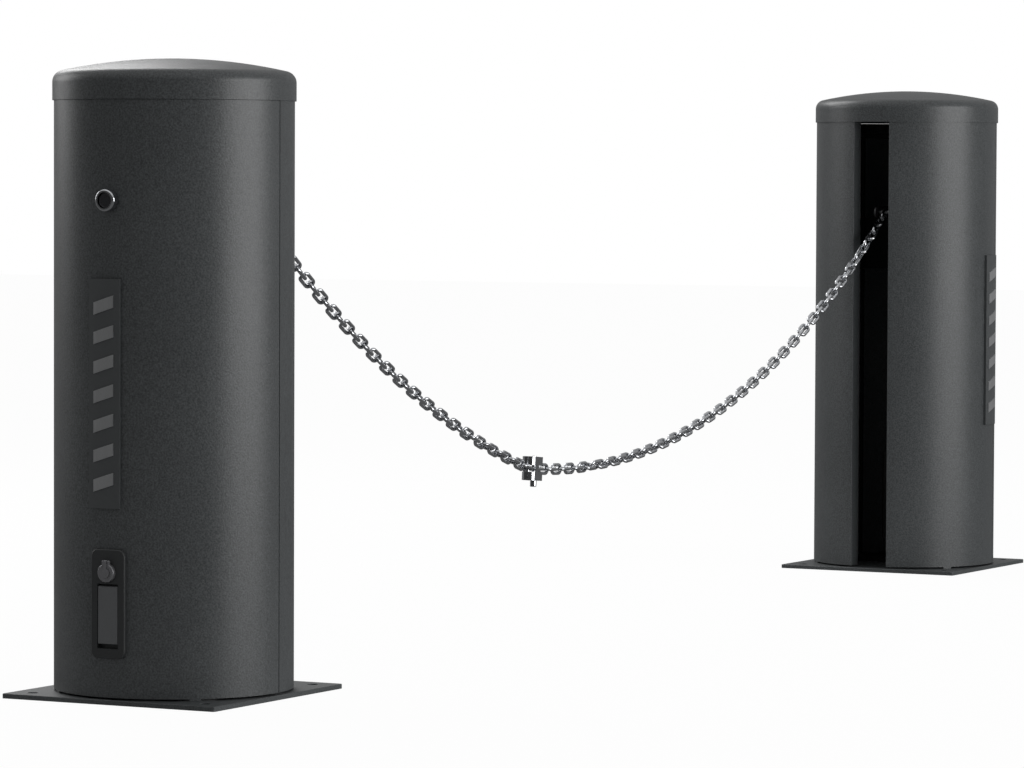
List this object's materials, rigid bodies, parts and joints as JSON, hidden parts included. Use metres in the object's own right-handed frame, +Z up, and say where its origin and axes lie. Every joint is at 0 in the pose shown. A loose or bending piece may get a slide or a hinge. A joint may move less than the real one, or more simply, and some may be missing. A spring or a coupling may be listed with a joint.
{
  "type": "automatic chain barrier",
  "caption": "Driveway chain barrier: two round dark posts with tall slots and a steel chain that a motor lowers to the ground.",
  "frame": {"origin": "centre of the underside of the drive post's base plate, on the ground", "axes": "+X along the chain from the drive post to the far post, +Z up, the picture is taken from the -X, -Y side"},
  "size_m": [2.6318, 0.3092, 0.794],
  "materials": {
    "shell_paint": "textured satin",
    "plate_paint": "satin",
    "mast_zinc": "zinc plated",
    "steel": "ground",
    "chain_chrome": "polished",
    "lamp_chrome": "polished",
    "lens": "dark smoked",
    "black_plastic": "fine textured",
    "handle_plastic": "fine textured",
    "bronze": "sintered",
    "belt_rubber": "moulded",
    "pulley_alu": "turned",
    "motor_paint": "gloss",
    "box_plastic": "moulded",
    "board": "coated",
    "weight_iron": "cast",
    "bar_alu": "satin"
  },
  "bodies": {
    "frame": {"drive_base_plate": "plate_paint", "drive_front_shell": "shell_paint", "drive_mast": "mast_zinc", "drive_belts": "belt_rubber", "guide_rods": "steel", "pulley_axles": "steel", "gear_motor": "motor_paint", "control_box": "box_plastic", "control_box_lid": "box_plastic", "control_board": "board", "limit_switches": "black_plastic", "far_base_plate": "plate_paint", "far_front_shell": "shell_paint", "far_mast": "mast_zinc", "far_badge_strip": "black_plastic", "far_badge_bars": "bar_alu"},
    "drive_cap": {"drive_cap": "shell_paint"},
    "far_cap": {"far_cap": "shell_paint"},
    "drive_cover": {"drive_rear_cover": "shell_paint", "drive_lock_plate": "black_plastic", "drive_lock_cylinder": "lamp_chrome", "lamp_bezel": "lamp_chrome", "lamp_lens": "lens", "lamp_body": "black_plastic", "drive_badge_strip": "black_plastic", "drive_badge_bars": "bar_alu"},
    "far_cover": {"far_rear_cover": "shell_paint", "far_lock_plate": "black_plastic", "far_lock_cylinder": "lamp_chrome"},
    "drive_lock_plug": {"drive_lock_plug": "lamp_chrome"},
    "far_lock_plug": {"far_lock_plug": "lamp_chrome"},
    "drive_lock_handle": {"drive_lock_handle": "handle_plastic"},
    "far_lock_handle": {"far_lock_handle": "handle_plastic"},
    "drive_dust_cap": {"drive_dust_cap": "lamp_chrome"},
    "drive_carriage": {"drive_carriage": "mast_zinc", "drive_carriage_bushes": "bronze", "drive_hook_pin": "steel"},
    "far_carriage": {"far_carriage": "mast_zinc", "far_carriage_bushes": "bronze"},
    "counterweight": {"counterweight": "weight_iron"},
    "drive_upper_pulley": {"drive_upper_pulley": "pulley_alu"},
    "drive_lower_pulley": {"drive_lower_pulley": "pulley_alu"},
    "far_upper_pulley": {"far_upper_pulley": "pulley_alu"},
    "far_lower_pulley": {"far_lower_pulley": "pulley_alu"},
    "chain_drive_1": {"chain_drive_1": "chain_chrome"},
    "chain_drive_2": {"chain_drive_2": "chain_chrome"},
    "chain_drive_3": {"chain_drive_3": "chain_chrome"},
    "chain_drive_4": {"chain_drive_4": "chain_chrome"},
    "chain_drive_5": {"chain_drive_5": "chain_chrome"},
    "connector": {"connector_body": "chain_chrome", "chain_far_1": "chain_chrome"},
    "chain_far_2": {"chain_far_2": "chain_chrome"},
    "chain_far_3": {"chain_far_3": "chain_chrome"},
    "chain_far_4": {"chain_far_4": "chain_chrome"},
    "chain_far_5": {"chain_far_5": "chain_chrome"},
    "chain_far_6": {"chain_far_6": "chain_chrome", "far_hook_pin": "steel"},
    "connector_lock_pin": {"connector_lock_pin": "chain_chrome"}
  },
  "joints": [
    {"name": "lift", "type": "slide", "parent": "frame", "child": "drive_carriage", "axis": [0, 0, 1], "range_m": [-0.5501, 0]},
    {"name": "far_lift", "type": "slide", "parent": "frame", "child": "far_carriage", "axis": [0, 0, 1], "range_m": [-0.4594, 0]},
    {"name": "weight_lift", "type": "slide", "parent": "frame", "child": "counterweight", "axis": [0, 0, 1], "range_m": [0, 0.4594]},
    {"name": "drive_upper_pulley_spin", "type": "hinge", "parent": "frame", "child": "drive_upper_pulley", "pos_m": [-0.04, 0, 0.69], "axis": [0, 1, 0], "range_deg": [0, 1481]},
    {"name": "drive_lower_pulley_spin", "type": "hinge", "parent": "frame", "child": "drive_lower_pulley", "pos_m": [-0.04, 0, 0.062], "axis": [0, 1, 0], "range_deg": [0, 1481]},
    {"name": "far_upper_pulley_spin", "type": "hinge", "parent": "frame", "child": "far_upper_pulley", "pos_m": [2.35, 0, 0.69], "axis": [0, 1, 0], "range_deg": [-1235, 0]},
    {"name": "far_lower_pulley_spin", "type": "hinge", "parent": "frame", "child": "far_lower_pulley", "pos_m": [2.35, 0, 0.062], "axis": [0, 1, 0], "range_deg": [-1235, 0]},
    {"name": "chain_drive_1_swing", "type": "hinge", "parent": "drive_carriage", "child": "chain_drive_1", "pos_m": [0.0874, 0, 0.6848], "axis": [0, -1, 0], "range_deg": [-52.13, 0]},
    {"name": "chain_drive_2_swing", "type": "hinge", "parent": "chain_drive_1", "child": "chain_drive_2", "pos_m": [0.15188, 0, 0.63447], "axis": [0, -1, 0], "range_deg": [0, 43.87]},
    {"name": "chain_drive_3_swing", "type": "hinge", "parent": "chain_drive_2", "child": "chain_drive_3", "pos_m": [0.1849, 0, 0.60982], "axis": [0, -1, 0], "range_deg": [0, 40.4]},
    {"name": "chain_drive_4_swing", "type": "hinge", "parent": "chain_drive_3", "child": "chain_drive_4", "pos_m": [0.42372, 0, 0.45328], "axis": [0, -1, 0], "range_deg": [-5.71, 0]},
    {"name": "chain_drive_5_swing", "type": "hinge", "parent": "chain_drive_4", "child": "chain_drive_5", "pos_m": [0.68178, 0, 0.32495], "axis": [0, -1, 0], "range_deg": [-4.3, 0]},
    {"name": "connector_swing", "type": "hinge", "parent": "chain_drive_5", "child": "connector", "pos_m": [0.95154, 0, 0.23343], "axis": [0, -1, 0], "range_deg": [-25.38, 0]},
    {"name": "chain_far_2_swing", "type": "hinge", "parent": "connector", "child": "chain_far_2", "pos_m": [1.25525, 0, 0.23206], "axis": [0, -1, 0], "range_deg": [-6.7, 0]},
    {"name": "chain_far_3_swing", "type": "hinge", "parent": "chain_far_2", "child": "chain_far_3", "pos_m": [1.55951, 0, 0.28377], "axis": [0, -1, 0], "range_deg": [-9.53, 0]},
    {"name": "chain_far_4_swing", "type": "hinge", "parent": "chain_far_3", "child": "chain_far_4", "pos_m": [1.85125, 0, 0.38463], "axis": [0, -1, 0], "range_deg": [-7.34, 0]},
    {"name": "chain_far_5_swing", "type": "hinge", "parent": "chain_far_4", "child": "chain_far_5", "pos_m": [2.1227, 0, 0.52601], "axis": [0, -1, 0], "range_deg": [0, 39.58]},
    {"name": "chain_far_6_swing", "type": "hinge", "parent": "chain_far_5", "child": "chain_far_6", "pos_m": [2.1577, 0, 0.54774], "axis": [0, -1, 0], "range_deg": [0, 43.68]},
    {"name": "drive_cap_lift", "type": "slide", "parent": "frame", "child": "drive_cap", "axis": [0, 0, 1], "range_m": [0, 0.15]},
    {"name": "far_cap_lift", "type": "slide", "parent": "frame", "child": "far_cap", "axis": [0, 0, 1], "range_m": [0, 0.15]},
    {"name": "drive_cover_pull", "type": "slide", "parent": "frame", "child": "drive_cover", "axis": [-1, 0, 0], "range_m": [0, 0.25]},
    {"name": "far_cover_pull", "type": "slide", "parent": "frame", "child": "far_cover", "axis": [1, 0, 0], "range_m": [0, 0.25]},
    {"name": "drive_handle_swing", "type": "hinge", "parent": "drive_cover", "child": "drive_lock_handle", "pos_m": [-0.1511, 0, 0.1437], "axis": [0, 1, 0], "range_deg": [0, 55]},
    {"name": "far_handle_swing", "type": "hinge", "parent": "far_cover", "child": "far_lock_handle", "pos_m": [2.4611, 0, 0.1437], "axis": [0, -1, 0], "range_deg": [0, 55]},
    {"name": "drive_key_turn", "type": "hinge", "parent": "drive_cover", "child": "drive_lock_plug", "pos_m": [-0.15, 0, 0.1624], "axis": [1, 0, 0], "range_deg": [0, 90]},
    {"name": "far_key_turn", "type": "hinge", "parent": "far_cover", "child": "far_lock_plug", "pos_m": [2.46, 0, 0.1624], "axis": [-1, 0, 0], "range_deg": [0, 90]},
    {"name": "drive_dust_cap_swing", "type": "hinge", "parent": "drive_cover", "child": "drive_dust_cap", "pos_m": [-0.1576, 0, 0.176], "axis": [0, 1, 0], "range_deg": [0, 110]},
    {"name": "lock_pin_pull", "type": "slide", "parent": "connector", "child": "connector_lock_pin", "axis": [-0.0872, 0, -0.9962], "range_m": [0, 0.04]}
  ],
  "couplings": [
    {"joint": "far_lift", "follows": "lift", "ratio": 0.83425},
    {"joint": "weight_lift", "follows": "lift", "ratio": -0.83425},
    {"joint": "drive_upper_pulley_spin", "follows": "lift", "rad_per_m": -46.948},
    {"joint": "drive_lower_pulley_spin", "follows": "lift", "rad_per_m": -46.948},
    {"joint": "far_upper_pulley_spin", "follows": "lift", "rad_per_m": 39.167},
    {"joint": "far_lower_pulley_spin", "follows": "lift", "rad_per_m": 39.167},
    {"joint": "chain_drive_1_swing", "follows": "lift", "rad_per_m": 1.6508},
    {"joint": "chain_drive_2_swing", "follows": "lift", "rad_per_m": -1.3888},
    {"joint": "chain_drive_3_swing", "follows": "lift", "rad_per_m": -1.2786},
    {"joint": "chain_drive_4_swing", "follows": "lift", "rad_per_m": 0.17786},
    {"joint": "chain_drive_5_swing", "follows": "lift", "rad_per_m": 0.13319},
    {"joint": "connector_swing", "follows": "lift", "rad_per_m": 0.8022},
    {"joint": "chain_far_2_swing", "follows": "lift", "rad_per_m": 0.20945},
    {"joint": "chain_far_3_swing", "follows": "lift", "rad_per_m": 0.29907},
    {"joint": "chain_far_4_swing", "follows": "lift", "rad_per_m": 0.22976},
    {"joint": "chain_far_5_swing", "follows": "lift", "rad_per_m": -1.2525},
    {"joint": "chain_far_6_swing", "follows": "lift", "rad_per_m": -1.3825}
  ]
}
